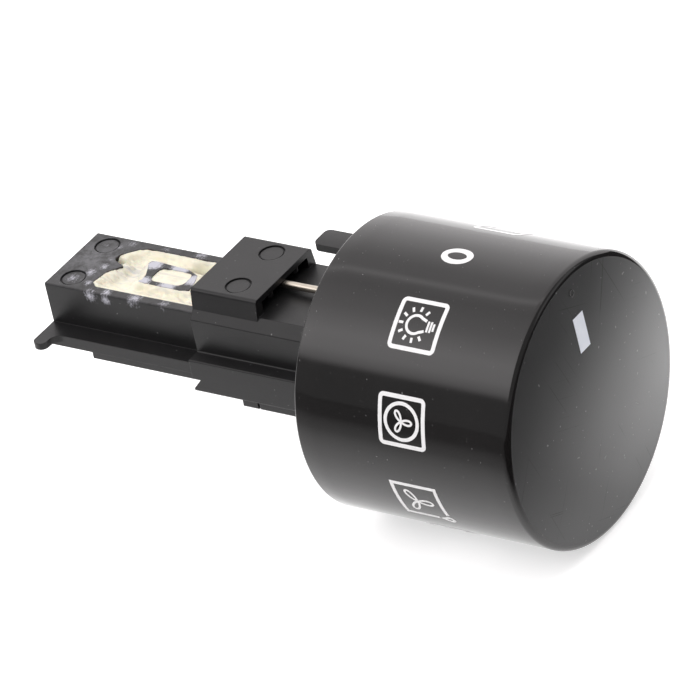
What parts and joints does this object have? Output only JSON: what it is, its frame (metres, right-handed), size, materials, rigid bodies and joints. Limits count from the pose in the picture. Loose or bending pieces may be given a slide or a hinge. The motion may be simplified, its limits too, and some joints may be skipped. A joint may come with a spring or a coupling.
{
  "type": "push-push appliance selector knob",
  "caption": "Black round selector knob that pops out: printed cap on a guide sleeve, a greased heart-cam block, a latch wire, a return spring and a shaft socket.",
  "frame": {"origin": "the mouth of the shaft socket, on the knob's axis, at the rear end of the cam block", "axes": "the axis is Y and the knob's face points to -Y; +Z is the side of the cam track and of the knob's zero mark; the socket opens to +Y"},
  "size_m": [0.038, 0.0794, 0.038],
  "materials": {
    "satin_black": "matte, fine moulded grain",
    "gloss_black": "glossy barrel, satin face",
    "pale_inlay": "satin",
    "symbol_print": "screen-printed ink",
    "grease": "soft wet sheen",
    "wire_steel": "drawn wire, slightly warm",
    "spring_steel": "drawn wire"
  },
  "bodies": {
    "cam_slide": {"cam_block": "satin_black", "shaft_clip": "spring_steel"},
    "knob": {"guide_sleeve": "satin_black", "sleeve_keeper": "satin_black", "return_spring": "spring_steel", "knob_cap": "gloss_black", "pointer_inlay": "pale_inlay", "index_ring": "satin_black"},
    "follower": {"latch_wire": "wire_steel"}
  },
  "joints": [
    {"name": "knob_slide", "type": "slide", "parent": "cam_slide", "child": "knob", "axis": [0, 1, 0], "range_m": [0, 0.0205], "stiffness_N_per_m": 150, "deforming": ["return_spring", "latch_wire"]},
    {"name": "latch_wire_swing", "type": "hinge", "parent": "knob", "child": "follower", "pos_m": [0, -0.04125, 0.0089], "axis": [0, 0, 1], "range_deg": [-14.5, 14.5], "stiffness_Nm_per_rad": 0.0001}
  ]
}
